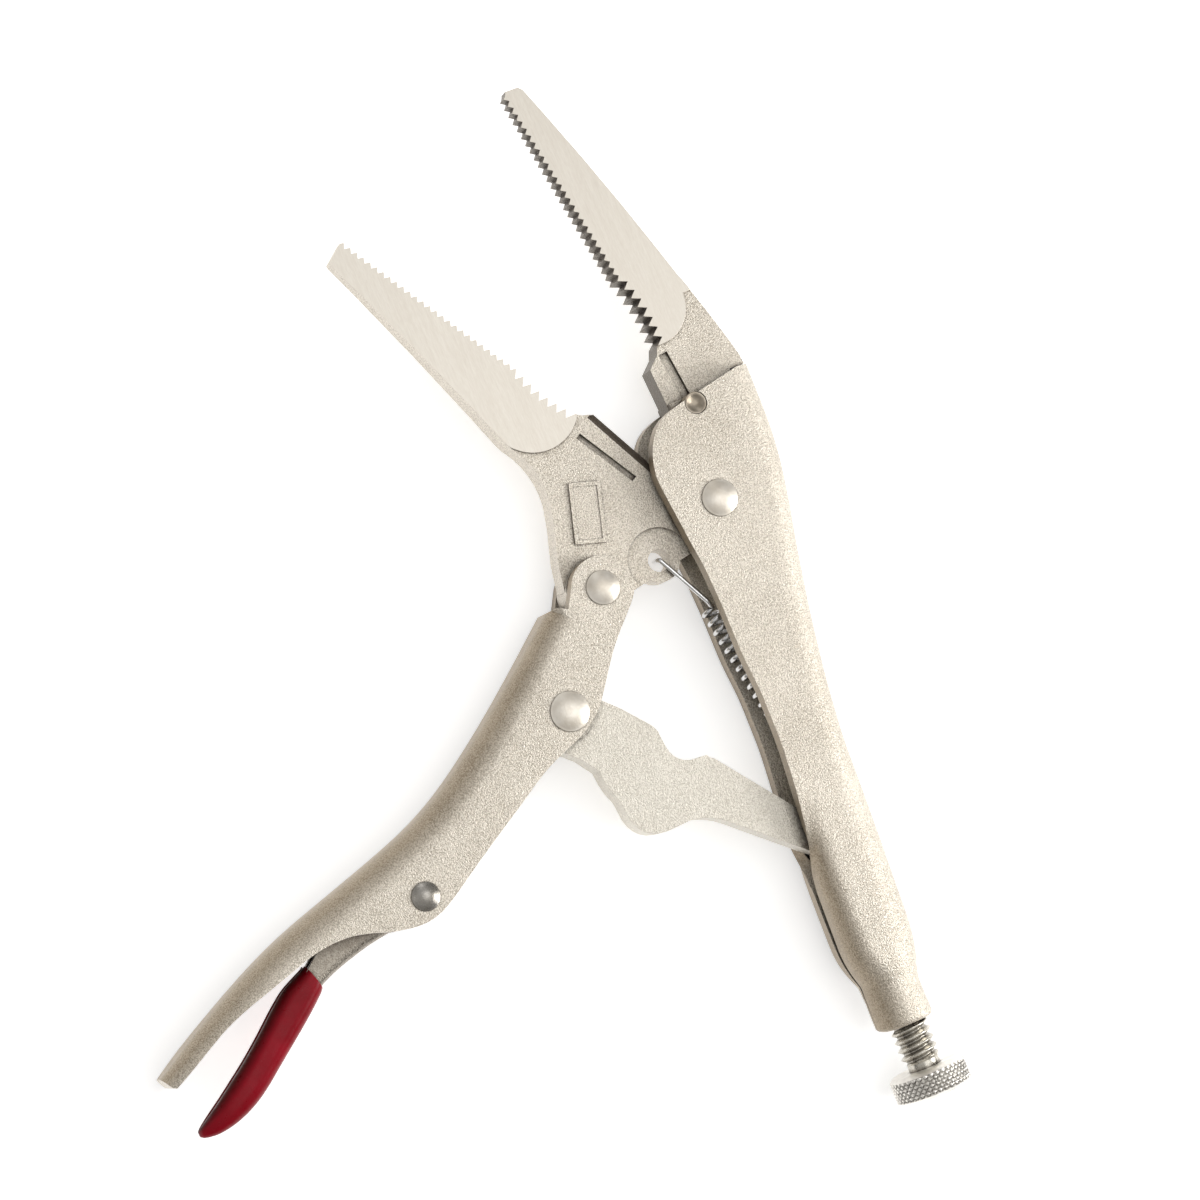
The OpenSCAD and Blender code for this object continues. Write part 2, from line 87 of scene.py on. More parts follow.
def make_camera():
    data = bpy.data.cameras.new("camera")
    data.lens = CAMERA_LENS
    data.sensor_width = CAMERA_SENSOR
    data.clip_start = CAMERA_CLIP
    camera = bpy.data.objects.new("camera", data)
    bpy.context.scene.collection.objects.link(camera)
    columns = (CAMERA_RIGHT, -CAMERA_DOWN, -CAMERA_FORWARD)
    turn = Matrix([[c[i] for c in columns] for i in range(3)]).to_4x4()
    camera.matrix_world = Matrix.Translation(CAMERA_AT) @ turn
    bpy.context.scene.camera = camera


make_camera()

# ---- materials ----

AO_SAMPLES = 6


class Nodes:
    """Small helper that adds and links the nodes of one material."""

    def __init__(self, name):
        self.material = bpy.data.materials.new(name)
        self.material.use_nodes = True
        self.tree = self.material.node_tree
        self.shader = self.tree.nodes["Principled BSDF"]
        coords = self.add("ShaderNodeTexCoord")
        self.place = coords.outputs["Object"]
        self.normal = coords.outputs["Normal"]

    def add(self, kind, **inputs):
        node = self.tree.nodes.new(kind)
        for key, value in inputs.items():
            self.put(node.inputs[key.replace("_", " ")], value)
        return node

    def put(self, socket, value):
        if isinstance(value, bpy.types.NodeSocket):
            self.tree.links.new(value, socket)
        else:
            socket.default_value = value

    def noise(self, scale, detail=2.0, roughness=0.5, place=None):
        node = self.add("ShaderNodeTexNoise", Scale=scale, Detail=detail, Roughness=roughness)
        self.put(node.inputs["Vector"], place or self.place)
        return node.outputs["Fac"]

    def ramp(self, value, low, high, start=0.0, end=1.0):
        node = self.add("ShaderNodeMapRange")
        for name, v in (("Value", value), ("From Min", low), ("From Max", high),
                        ("To Min", start), ("To Max", end)):
            self.put(node.inputs[name], v)
        return node.outputs["Result"]

    def math(self, operation, a, b=0.0):
        node = self.add("ShaderNodeMath")
        node.operation = operation
        self.put(node.inputs[0], a)
        self.put(node.inputs[1], b)
        return node.outputs[0]

    def mix(self, factor, a, b, blend="MIX"):
        """Colour a with b laid over it by factor; sockets 6, 7 and 2 are the colour ones."""
        node = self.add("ShaderNodeMix")
        node.data_type = "RGBA"
        node.blend_type = blend
        self.put(node.inputs[0], factor)
        self.put(node.inputs[6], a)
        self.put(node.inputs[7], b)
        return node.outputs[2]

    def stretched(self, scale, angle):
        node = self.add("ShaderNodeMapping")
        node.inputs["Scale"].default_value = scale
        node.inputs["Rotation"].default_value = (0.0, 0.0, angle)
        self.put(node.inputs["Vector"], self.place)
        return node.outputs["Vector"]

    def crevices(self, distance):
        """1 in the open, falling towards 0 in crevices."""
        node = self.add("ShaderNodeAmbientOcclusion")
        node.samples = AO_SAMPLES
        node.inputs["Distance"].default_value = distance
        return node.outputs["AO"]

    def bump(self, height, distance):
        return self.add("ShaderNodeBump", Height=height, Distance=distance).outputs["Normal"]

    def finish(self, **inputs):
        for key, value in inputs.items():
            self.put(self.shader.inputs[key.replace("_", " ")], value)
        return self.material


def colour(red, green, blue):
    return (red, green, blue, 1.0)


STEEL_LIGHT = colour(0.90, 0.84, 0.745)
STEEL_DARK = colour(0.44, 0.385, 0.31)
# Brown tint of the painted shade on one side of the handles
PAINTED_SHADE_TINT = colour(0.52, 0.46, 0.38)
CHEEK_LIGHT = colour(0.72, 0.68, 0.61)
CHEEK_DARK = colour(0.64, 0.59, 0.52)
# Brown-black of the grime and of the painted shade in crevices and under other parts
GRIME_AND_SHADE = colour(0.055, 0.04, 0.028)
GRAIN_SCALE = 4800.0
COARSE_SCALE = 2600.0
GRAIN_DEEP = 0.00015
# Reach of the dirt and painted shade, the openness below which all is darkened, and that above which all is
# left bare
PLAIN_DIRT_AND_SHADE = (0.0022, 0.4, 0.9)
DEEP_DIRT_AND_SHADE = (0.005, 0.25, 0.85)
JAW_DIRT_AND_SHADE = (0.0013, 0.35, 0.85)
# Strength of the darkening of the fixed jaw's toothed edge, which faces the moving jaw
TEETH_DARKENING = 0.8
# Strength of the grime and painted shade in the wire-cutter recess
RECESS_GRIME_AND_SHADE = 0.93
# Directions whose surfaces get painted shade, a darker tint: towards the fixed handle's open
# side, and outwards from the lever's web
HANDLE_OPEN_SIDE = (0.0, 1.0)
LEVER_OUTWARDS = (0.88, 0.48)


def grimed_and_shaded(n, base, distance, start=PLAIN_DIRT_AND_SHADE[1], end=PLAIN_DIRT_AND_SHADE[2]):
    """The base colour with brown-black grime and painted shade darkening its crevices and the places under
    other parts.
    """
    ragged = n.ramp(n.noise(1300.0, 3.0), 0.3, 0.7, -0.07, 0.07)
    open_share = n.ramp(n.math("ADD", n.crevices(distance), ragged), start, end)
    return n.mix(open_share, GRIME_AND_SHADE, base)


def blasted_steel(name, light=STEEL_LIGHT, dark=STEEL_DARK, deep=GRAIN_DEEP, roughness=0.36,
                  ground=None, dark_teeth=False, stain_and_shade=None, painted_shade_side=None, dirt_and_shade=PLAIN_DIRT_AND_SHADE):
    """Shot-blasted, nickel-plated steel: fine pits, cloudy tone, and grime and painted shade in the corners.

    ground makes the mask of the smooth ground cheek, where the jaw has one, and the recess mask
    that of the recess, darkened with grime and painted shade. The shaded side is the direction
    whose surfaces get painted shade, a brown tint."""
    n = Nodes(name)
    grain = n.noise(GRAIN_SCALE, 2.0, 0.55)
    coarse = n.noise(COARSE_SCALE, 2.0)
    pits = n.ramp(grain, 0.38, 0.62)
    tone = n.math("ADD", n.math("MULTIPLY", n.noise(60.0, 2.0), 0.55),
                  n.math("MULTIPLY", n.noise(260.0, 3.0), 0.45))
    speckle = n.math("ADD", n.ramp(tone, 0.3, 0.7, 0.5, 0.75), n.ramp(pits, 0.0, 1.0, -0.5, 0.45))
    base = n.mix(speckle, dark, light)
    height = n.math("ADD", grain, n.math("MULTIPLY", coarse, 0.6))
    shine = n.ramp(grain, 0.35, 0.65, roughness - 0.08, roughness + 0.12)
    if ground is not None:
        mask = ground(n)
        lines = n.noise(1.0, 3.0, 0.6, n.stretched((900.0, 5200.0, 900.0), radians(-14.0)))
        scratches = n.noise(1.0, 2.0, 0.5, n.stretched((160.0, 2400.0, 160.0), radians(38.0)))
        brushed = n.math("ADD", n.math("MULTIPLY", lines, 0.6), n.math("MULTIPLY", scratches, 0.4))
        cheek = n.mix(n.ramp(brushed, 0.3, 0.7), CHEEK_DARK, CHEEK_LIGHT)
        blasted = n.math("SUBTRACT", 1.0, mask)
        base = n.mix(mask, base, cheek)
        height = n.math("ADD", n.math("MULTIPLY", height, blasted),
                        n.math("MULTIPLY", brushed, n.math("MULTIPLY", mask, 0.1)))
        shine = n.math("ADD", n.math("MULTIPLY", shine, blasted), n.math("MULTIPLY", mask, 0.4))
    # Grime and painted shade darken the wire-cutter recess
    if stain_and_shade is not None:
        base = n.mix(n.math("MULTIPLY", stain_and_shade(n), RECESS_GRIME_AND_SHADE), base, GRIME_AND_SHADE)
    # The toothed edge that faces the moving jaw is darkened
    if dark_teeth:
        base = n.mix(n.math("MULTIPLY", facing_lever(n), TEETH_DARKENING), base, GRIME_AND_SHADE)
    # Painted shade: surfaces that lean towards the given direction are tinted darker brown
    if painted_shade_side is not None:
        share = n.ramp(lean(n, painted_shade_side), 0.02, 0.7, 0.0, 0.9)
        base = n.mix(share, base, n.mix(1.0, base, PAINTED_SHADE_TINT, "MULTIPLY"))
    return n.finish(Base_Color=grimed_and_shaded(n, base, *dirt_and_shade), Metallic=0.85, Roughness=shine,
                    Normal=n.bump(height, deep))


def true_normal(n, axis):
    geometry = n.add("ShaderNodeNewGeometry")
    split = n.add("ShaderNodeSeparateXYZ")
    n.put(split.inputs[0], geometry.outputs["True Normal"])
    return split.outputs[axis]


def lean(n, towards):
    """Share of the surface normal towards a direction of the piece's own frame."""
    node = n.add("ShaderNodeVectorMath")
    node.operation = "DOT_PRODUCT"
    n.put(node.inputs[0], n.normal)
    node.inputs[1].default_value = (towards[0], towards[1], 0.0)
    return node.outputs["Value"]


def facing_lever(n):
    """1 on the toothed edge of the fixed jaw, which faces the moving one."""
    return n.math("GREATER_THAN", true_normal(n, "Y"), 0.3)


def facing_side(n):
    """1 on surfaces that face along the rivets, 0 on the narrow edges."""
    return n.math("GREATER_THAN", n.math("ABSOLUTE", true_normal(n, "Z")), 0.8)


def offset_from(n, corner):
    """Sockets of the distances in x and y from a point of the design frame."""
    split = n.add("ShaderNodeSeparateXYZ")
    n.put(split.inputs[0], n.place)
    at = row(*corner)
    return (n.math("SUBTRACT", split.outputs["X"], at.x),
            n.math("SUBTRACT", split.outputs["Y"], at.y))


def part_along(n, dx, dy, angle):
    """Socket of the part of an offset that points along an angle."""
    return n.math("ADD", n.math("MULTIPLY", dx, cos(angle)), n.math("MULTIPLY", dy, sin(angle)))


def cheek_mask(centre, radius, angle):
    """Maker of the mask of a ground cheek: a circle by the root, and all beyond its centre."""

    def build(n):
        dx, dy = offset_from(n, centre)
        apart = n.math("SQRT", n.math("ADD", n.math("MULTIPLY", dx, dx), n.math("MULTIPLY", dy, dy)))
        inside = n.math("LESS_THAN", apart, radius * MM)
        beyond = n.math("GREATER_THAN", part_along(n, dx, dy, angle), 0.0)
        return n.math("MULTIPLY", n.math("MAXIMUM", inside, beyond), facing_side(n))

    return build


def bar_mask(corner, angle, size):
    """Maker of the mask of a bar-shaped recess: its corner, direction and size."""

    def build(n):
        dx, dy = offset_from(n, corner)
        across = n.math("SUBTRACT", n.math("MULTIPLY", dy, cos(angle)),
                        n.math("MULTIPLY", dx, sin(angle)))
        inside = None
        for value, length in ((part_along(n, dx, dy, angle), size[0]), (across, size[1])):
            for test in (n.math("GREATER_THAN", value, 0.0), n.math("LESS_THAN", value, length * MM)):
                inside = test if inside is None else n.math("MULTIPLY", inside, test)
        return inside

    return build


def polished_steel(name, light, dark, roughness, metallic=0.95, dirt_and_shade=0.0012):
    """Smoother plated steel with faint pits, for rivets, thread, knob and spring."""
    n = Nodes(name)
    tone = n.noise(420.0, 3.0)
    fine = n.noise(3400.0, 2.0)
    base = n.mix(n.ramp(tone, 0.35, 0.65), dark, light)
    shine = n.ramp(fine, 0.3, 0.7, roughness - 0.06, roughness + 0.1)
    return n.finish(Base_Color=grimed_and_shaded(n, base, dirt_and_shade), Metallic=metallic, Roughness=shine,
                    Normal=n.bump(fine, 0.00002))


def dipped_vinyl(name):
    """Glossy crimson dip with a slight orange peel, dust in its pores, and painted shade on the side that
    faces the lever.
    """
    n = Nodes(name)
    tone = n.noise(160.0, 3.0)
    peel = n.noise(700.0, 2.0)
    dust = n.ramp(n.noise(1800.0, 2.0), 0.66, 0.8)
    base = n.mix(n.ramp(tone, 0.35, 0.65), colour(0.21, 0.0, 0.006), colour(0.29, 0.0008, 0.011))
    base = n.mix(n.math("MULTIPLY", dust, 0.06), base, colour(0.5, 0.2, 0.2))
    # Painted shade: the side of the grip that faces the lever is darkened towards black-red
    shade = n.ramp(lean(n, LEVER_OUTWARDS), 0.2, 0.85, 0.0, 0.85)
    base = n.mix(shade, base, colour(0.035, 0.0, 0.001))
    n.shader.inputs["Specular IOR Level"].default_value = 0.16
    return n.finish(Base_Color=grimed_and_shaded(n, base, 0.0015, 0.1, 0.6),
                    Roughness=n.ramp(peel, 0.3, 0.7, 0.26, 0.4), Normal=n.bump(peel, 0.00003))


def painted_floor(name):
    n = Nodes(name)
    shade = n.mix(n.noise(7.0, 2.0), colour(0.93, 0.93, 0.93), colour(0.96, 0.96, 0.96))
    n.shader.inputs["Emission Color"].default_value = (1.0, 1.0, 1.0, 1.0)
    n.shader.inputs["Emission Strength"].default_value = 0.5
    return n.finish(Base_Color=shade, Roughness=0.9)


UPPER_CHEEK = cheek_mask((33.0, -1.8), 6.6, 0.0)
LOWER_CHEEK = cheek_mask((24.7, 22.2), 7.6, radians(30.0))
# Wire-cutter recess of the lower jaw, darkened with grime and painted shade
CUTTER_RECESS = bar_mask((9.35, 4.8), radians(28.0), (13.6, 3.5))
HANDLE_STEEL = blasted_steel("handle_steel", painted_shade_side=HANDLE_OPEN_SIDE, dirt_and_shade=DEEP_DIRT_AND_SHADE)
LEVER_STEEL = blasted_steel("lever_steel", painted_shade_side=LEVER_OUTWARDS, dirt_and_shade=DEEP_DIRT_AND_SHADE)
LINK_STEEL = blasted_steel("link_steel", colour(0.84, 0.80, 0.72), colour(0.52, 0.48, 0.41),
                           0.00011, 0.4)
UPPER_STEEL = blasted_steel("upper_jaw_steel", ground=UPPER_CHEEK, dark_teeth=True, dirt_and_shade=JAW_DIRT_AND_SHADE)
LOWER_STEEL = blasted_steel("lower_jaw_steel", ground=LOWER_CHEEK, stain_and_shade=CUTTER_RECESS,
                            dirt_and_shade=JAW_DIRT_AND_SHADE)
RIVET_STEEL = polished_steel("rivet_steel", colour(0.84, 0.79, 0.71), colour(0.70, 0.64, 0.55),
                             0.42, 0.85)
# Darker than the other rivets: a browner tone of its own, with painted shade for its dished ends
STAKED_STEEL = polished_steel("staked_steel", colour(0.50, 0.44, 0.36), colour(0.26, 0.22, 0.17),
                              0.36)
DARK_RIVET = polished_steel("dark_rivet_steel", colour(0.42, 0.40, 0.37), colour(0.28, 0.26, 0.23),
                            0.28)
THREAD_STEEL = polished_steel("thread_steel", colour(0.74, 0.71, 0.64), colour(0.55, 0.52, 0.46),
                              0.24, dirt_and_shade=0.0009)
KNOB_STEEL = polished_steel("knob_steel", colour(0.92, 0.89, 0.83), colour(0.78, 0.75, 0.70), 0.34,
                            dirt_and_shade=0.0006)
SPRING_STEEL = polished_steel("spring_steel", colour(0.86, 0.86, 0.86), colour(0.70, 0.70, 0.70),
                              0.16)
# Much darker than the other plated steel: painted shade under the lever's edge and beside the grip
RELEASE_STEEL = blasted_steel("release_steel", colour(0.46, 0.42, 0.36), colour(0.22, 0.19, 0.155),
                              0.00005, 0.32, dirt_and_shade=DEEP_DIRT_AND_SHADE)
VINYL = dipped_vinyl("vinyl_dip")

# ---- mesh helpers ----


def add_mesh(name, vertices, faces, material):
    data = bpy.data.meshes.new(name)
    data.from_pydata([tuple(v) for v in vertices], [], faces)
    data.validate()
    data.materials.append(material)
    obj = bpy.data.objects.new(name, data)
    bpy.context.scene.collection.objects.link(obj)
    return obj


WELD = 2e-6
SHORTEST_EDGE = 1e-6


def tidy_mesh(obj, sharp=32.0, dissolve=None):
    """Welds, faces outwards, and shades smooth up to the sharp angle in degrees.

    dissolve is the angle up to which neighbouring faces are joined first."""
    bm = bmesh.new()
    bm.from_mesh(obj.data)
    bmesh.ops.remove_doubles(bm, verts=bm.verts, dist=WELD)
    bmesh.ops.dissolve_degenerate(bm, edges=bm.edges, dist=SHORTEST_EDGE)
    if dissolve is not None:
        bmesh.ops.dissolve_limit(bm, angle_limit=radians(dissolve), verts=bm.verts, edges=bm.edges)
    bmesh.ops.recalc_face_normals(bm, faces=bm.faces)
    bm.to_mesh(obj.data)
    bm.free()
    obj.data.shade_smooth()
    obj.data.set_sharp_from_angle(angle=radians(sharp))


def soften(obj, width):
    """Rounds the sharp edges by a bevel of width millimetres."""
    bevel = obj.modifiers.new("edge_rounding", "BEVEL")
    bevel.width = width * MM
    bevel.segments = 2
    bevel.limit_method = "ANGLE"
    bevel.angle_limit = radians(34.0)
    bevel.harden_normals = False


def baked_in(obj):
    """Applies the modifiers of obj to its mesh."""
    depsgraph = bpy.context.evaluated_depsgraph_get()
    result = bpy.data.meshes.new_from_object(obj.evaluated_get(depsgraph))
    old = obj.data
    obj.modifiers.clear()
    obj.data = result
    bpy.data.meshes.remove(old)


def trim(obj, tool, operation):
    """Cuts obj by tool, or keeps what they share, and removes tool."""
    cut = obj.modifiers.new("trim", "BOOLEAN")
    cut.object = tool
    cut.operation = operation
    cut.solver = "EXACT"
    baked_in(obj)
    bpy.data.objects.remove(tool)


def ring_loft(name, rings, material, caps=None):
    """Joins equal closed rings into a tube; caps says how the end faces are filled."""
    count = len(rings[0])
    vertices = [v for ring in rings for v in ring]
    faces = []
    for i in range(len(rings) - 1):
        for j in range(count):
            k = (j + 1) % count
            faces.append((i * count + j, i * count + k, (i + 1) * count + k, (i + 1) * count + j))
    for start in (0, (len(rings) - 1) * count):
        for face in (caps or [tuple(range(count))]):
            faces.append(tuple(start + j for j in face))
    return add_mesh(name, vertices, faces, material)


def prism(name, outline, low, high):
    """Prism of a design-frame outline between two heights along the rivets."""
    count = len(outline)
    vertices = [row(x, y, low) for x, y in outline] + [row(x, y, high) for x, y in outline]
    faces = [tuple(range(count))[::-1], tuple(range(count, 2 * count))]
    faces += [(i, (i + 1) % count, count + (i + 1) % count, count + i) for i in range(count)]
    obj = add_mesh(name, vertices, faces, None)
    tidy_mesh(obj)
    return obj


def table_value(table, at):
    """Linear value of a table of (place, value) with rising places."""
    if at <= table[0][0]:
        return table[0][1]
    for (x0, y0), (x1, y1) in zip(table, table[1:]):
        if at <= x1:
            return y0 + (y1 - y0) * (at - x0) / (x1 - x0)
    return table[-1][1]


SMOOTH_TAPS = 4


def smooth_value(table, at, reach):
    """Table value averaged over reach to both sides, which rounds its corners."""
    taps = range(-SMOOTH_TAPS, SMOOTH_TAPS + 1)
    return sum(table_value(table, at + reach * i / SMOOTH_TAPS) for i in taps) / len(taps)


# ---- folded channels: both handles and the release lever ----

# Points along the parts of a channel's section, and of its top those on the fold
WEB_STEPS = 4
BEND_STEPS = 8
FLANK_STEPS = 4
TOP_STEPS = 10
FOLD_STEPS = TOP_STEPS - 3
SMALLEST_BEND = 0.35
HANDLE_ROUNDING = 0.3


def channel_half(half, height, bend, fold_bend, curl, seam, rise):
    """Points (across, up) of one half of a folded channel, from its web to its edge.

    rise is how far its web lies above the outer web. curl folds the top of the flank
    over with radius fold_bend until, at 1, it reaches the seam."""
    room = max(height - rise, 0.02)
    sweep = pi / 2 if room >= bend else acos(1 - room / bend)
    points = [((half - bend) * i / WEB_STEPS, rise) for i in range(WEB_STEPS)]
    for i in range(BEND_STEPS + 1):
        a = sweep * i / BEND_STEPS
        points.append((half - bend + bend * sin(a), rise + bend - bend * cos(a)))
    low = points[-1][1]
    fold = max(height - fold_bend, low + 0.1 * (height - low))
    across = points[-1][0]
    points += [(across, low + (fold - low) * i / FLANK_STEPS) for i in range(1, FLANK_STEPS + 1)]
    for i in range(1, TOP_STEPS + 1):
        straight = (across, fold + (height - fold) * i / TOP_STEPS)
        if i <= FOLD_STEPS:
            a = pi / 2 * i / FOLD_STEPS
            folded = (half - fold_bend + fold_bend * cos(a), fold + fold_bend * sin(a))
        else:
            s = (i - FOLD_STEPS) / (TOP_STEPS - FOLD_STEPS)
            folded = ((half - fold_bend) * (1 - s) + seam * s, fold + fold_bend)
        points.append(tuple(p * (1 - curl) + q * curl for p, q in zip(straight, folded)))
    return points


def channel_ring(half, height, bend, curl=0.0, seam=0.12, sheet=SHEET, fold_bend=None,
                 inner_limit=9.0):
    """Closed ring of a folded channel's section; its inner bend stays below inner_limit."""
    fold_bend = fold_bend or bend
    outer = channel_half(half, height, bend, fold_bend, curl, seam, 0.0)
    inner_bend = min(max(bend - sheet, SMALLEST_BEND), inner_limit)
    inner = channel_half(half - sheet, height - sheet * curl, inner_bend,
                         max(fold_bend - sheet, SMALLEST_BEND), curl, seam, sheet)
    left = [(-u, v) for u, v in outer[:0:-1]]
    inner_left = [(-u, v) for u, v in inner[1:]]
    return left + outer + inner[::-1] + inner_left


def channel_caps():
    """End faces of the ring: a strip between the outer and the inner line."""
    half = WEB_STEPS + BEND_STEPS + FLANK_STEPS + TOP_STEPS + 1
    line = 2 * half - 1
    return [(i, i + 1, 2 * line - 2 - i, 2 * line - 1 - i) for i in range(line - 1)]


# Back of the fixed handle, x against y, from the collar to the jaw end
BACK = [
    (-95, -2.5), (-88.8, -2.5), (-82.6, -2.4), (-80.2, -3.0), (-78.4, -3.55), (-76.5, -3.9),
    (-74.5, -4.2), (-70.5, -4.45), (-66, -4.6), (-60, -4.9), (-54, -5.05), (-48.5, -5.15),
    (-45, -5.25), (-41.7, -5.4), (-38.3, -5.8), (-35, -6.1), (-31.8, -6.55), (-28.5, -7.05),
    (-25.2, -7.55), (-22, -8.1), (-18.8, -8.7), (-15.6, -9.35), (-12.3, -10), (-9.1, -10.7),
    (-6, -11.45), (-2.8, -12.1), (0.5, -12.75), (3.8, -13.25), (7.1, -13.55), (10, -13.7),
    (30, -13.8)]
# Open edge of its flanges
TOP = [
    (-95, 6.7), (-84, 6.65), (-82.6, 6.45), (-80.5, 7.1), (-79.3, 7.5), (-77.4, 8.0), (-75, 8.3),
    (-69, 8.2), (-61, 8.0), (-57, 7.7), (-54, 7.3), (-51, 6.95), (-48, 6.6), (-44, 6.2),
    (-39.5, 5.85), (-31, 5.8), (-24.5, 6.35), (-16, 6.4), (-9.2, 6.7), (-4.5, 7.35), (1.5, 8.0),
    (5, 8.45), (9, 8.5)]
# Rounded front corner and sloping front edge
FRONT = [
    (7.0, 8.42), (8.6, 8.15), (10.2, 7.7), (11.8, 6.95), (13.2, 6.05), (14.3, 5.0), (15.1, 3.8),
    (15.8, 2.1), (16.6, -1.2), (17.3, -4.6), (18.0, -8.0), (18.6, -11.0)]
HALF = [(-82.6, 4.6), (-80.5, 5.25), (-79, 5.75), (-77.4, 6.1), (-75, HALF_WIDTH)]
BEND = [
    (-82.6, 4.55), (-80.5, 5.0), (-79, 5.3), (-77, 5.5), (-69, 5.5), (-57, 5.1), (-48, 4.5),
    (-38, 4.4), (-20, 4.2), (0, 4.0)]
FOLD_BEND = [(-83, 4.55), (-81, 4.5), (-78, 4.0), (-74, 3.5), (-57, 3.4)]
CURL = [(-64, 1.0), (-61, 0.85), (-58.5, 0.52), (-56.5, 0.27), (-53, 0.09), (-48, 0.0)]
SEAM = [(-84, 0.12), (-82, 0.2), (-78, 0.45), (-72, 0.7), (-66, 0.85), (-60, 1.0)]
WALL = [(-84, 1.34), (-81, 1.8), (-76, SHEET)]
INNER_LIMIT = [(-70, 3.0), (-65, 0.6)]
COLLAR_ROUNDING = [(-88.8, 0.7), (-88.65, 0.35), (-88.4, 0.12), (-88.0, 0.0)]
FRONT_START = 7.0
# Behind this place the closed tube begins, where the bend takes up the whole height
TUBE_END = -50
# How far the tables are averaged to round their corners
BACK_REACH = [(-82.0, 0.5), (-76.0, 2.5)]
TOP_REACH = 1.6
HALF_REACH = 1.2
BEND_REACH = 1.5
# Runs of stations in front of the collar's: the first, the step and their number
STATION_RUNS = [(-87.5, 0.75, 126), (7.0, 0.4, 20), (15.1, 0.25, 14), (18.6, 0.0, 1)]
TAB_OUTLINE = [(-45.4, -4.0), (-43.8, -4.0), (-43.8, 2.5), (-45.4, 2.5)]
TAB_HALF = 1.5
TAB_HOLE_AT = (-44.6, 1.2)
TAB_HOLE_RADIUS = 0.7
JAW_RIVET_HOLE_RADIUS = 1.85


def fixed_handle_ring(x):
    back = smooth_value(BACK, x, table_value(BACK_REACH, x))
    top = table_value(FRONT, x) if x > FRONT_START else smooth_value(TOP, x, TOP_REACH)
    shrink = table_value(COLLAR_ROUNDING, x)
    half = smooth_value(HALF, x, HALF_REACH) - shrink
    wall = table_value(WALL, x) - shrink
    bend = smooth_value(BEND, x, BEND_REACH)
    if x < TUBE_END:
        bend = min(bend, half - 0.02, (top - back) / 2 - 0.01)
    fold_bend = min(bend, smooth_value(FOLD_BEND, x, BEND_REACH))
    section = channel_ring(half, top - back - 2 * shrink, bend - shrink * 0.9,
                           table_value(CURL, x), table_value(SEAM, x), wall,
                           fold_bend - shrink * 0.9, table_value(INNER_LIMIT, x))
    return [row(x, back + shrink + v, u) for u, v in section]


def drill(name, at, radius, half, steps, axis):
    """Cylinder for cutting a hole through a point of the design frame."""
    profile = [(0.0, -half), (radius, -half), (radius, half), (0.0, half)]
    return spun(name, profile, steps, row(*at), axis, None)


def spring_tab():
    """Tab on the web of the fixed handle with the hole for the spring's rear hook."""
    tab = prism("tab", TAB_OUTLINE, -TAB_HALF, TAB_HALF)
    trim(tab, drill("tab_hole", TAB_HOLE_AT, TAB_HOLE_RADIUS, 2 * TAB_HALF, 24, "X"), "DIFFERENCE")
    return tab


def fixed_handle():
    stations = [x for x, _ in COLLAR_ROUNDING]
    for first, step, count in STATION_RUNS:
        stations += [first + step * i for i in range(count)]
    rings = [fixed_handle_ring(x) for x in stations]
    obj = ring_loft("fixed_handle_shell", rings, HANDLE_STEEL, channel_caps())
    tidy_mesh(obj)
    trim(obj, drill("hole", JAW_RIVET, JAW_RIVET_HOLE_RADIUS, 9.0, 48, "Z"), "DIFFERENCE")
    trim(obj, spring_tab(), "UNION")
    tidy_mesh(obj)
    soften(obj, HANDLE_ROUNDING)
    return obj


# Outer line of the lever's web, from the pivot end to the tail
LEVER_WEB = [
    (-7.2, 33.3), (-13.7, 41.3), (-19.9, 49.4), (-25.9, 58.1), (-29.3, 64.7), (-31.6, 70.9),
    (-34.6, 80.5), (-37.7, 90.6), (-41.2, 98.7), (-46.2, 108.3), (-50.8, 116.0)]
LEVER_EDGE = [
    (-52.9, 114.4), (-49.6, 108.4), (-46.7, 102.9), (-44, 93.7), (-42, 87.5), (-41.6, 82.5),
    (-42.4, 78.4), (-43.8, 74.4), (-44.4, 70.9), (-44.2, 68.2), (-43.1, 65.3), (-38.2, 57.6),
    (-33.1, 48.9), (-29.8, 43.5), (-28.1, 39.5), (-26.7, 35.5), (-24.6, 32.3), (-22.7, 30.5),
    (-18.2, 27.3), (-15.2, 25), (-10.2, 20.0)]
# Rest of its outline, beyond the web, where only the eye matters
LEVER_RIM = [
    (-7.6, 30.0), (-6.7, 31.6), (-6.8, 32.8), (-3.8, 35.3), (0, 70), (-20, 116.0), (-50.6, 116.0),
    (-52.2, 115.6)]
# Opening between its flanges at the pivot end
LEVER_MOUTH = [(-7.9, 30.6), (-9.4, 33.6), (-30, 38), (-30, 5), (10, 5), (10, 29)]
LEVER_EARS = 18.0
LEVER_STEP = 0.8
TAIL_LENGTH = 7.0
TAIL_NARROWING = 1.5
EYE_RADIUS = 5.1
EYE_START, EYE_SWEEP, EYE_STEPS = -137.0, 191.0, 24


def corner_cut(points, rounds=3):
    """Chaikin's corner cutting of an open line, which keeps its ends."""

    def between(p, q, share):
        return tuple(a * (1 - share) + b * share for a, b in zip(p, q))

    for _ in range(rounds):
        cut = [points[0]]
        for p, q in zip(points, points[1:]):
            cut += [between(p, q, 0.25), between(p, q, 0.75)]
        points = cut + [points[-1]]
    return points


def station_tables(stations):
    """Table of each value of the stations against the distance along their first point.

    The second result is the whole distance."""
    tables = [[] for _ in stations[0]]
    place = 0.0
    last = stations[0]
    for station in stations:
        place += ((station[0] - last[0]) ** 2 + (station[1] - last[1]) ** 2) ** 0.5
        last = station
        for table, value in zip(tables, station):
            table.append((place, value))
    return tables, place


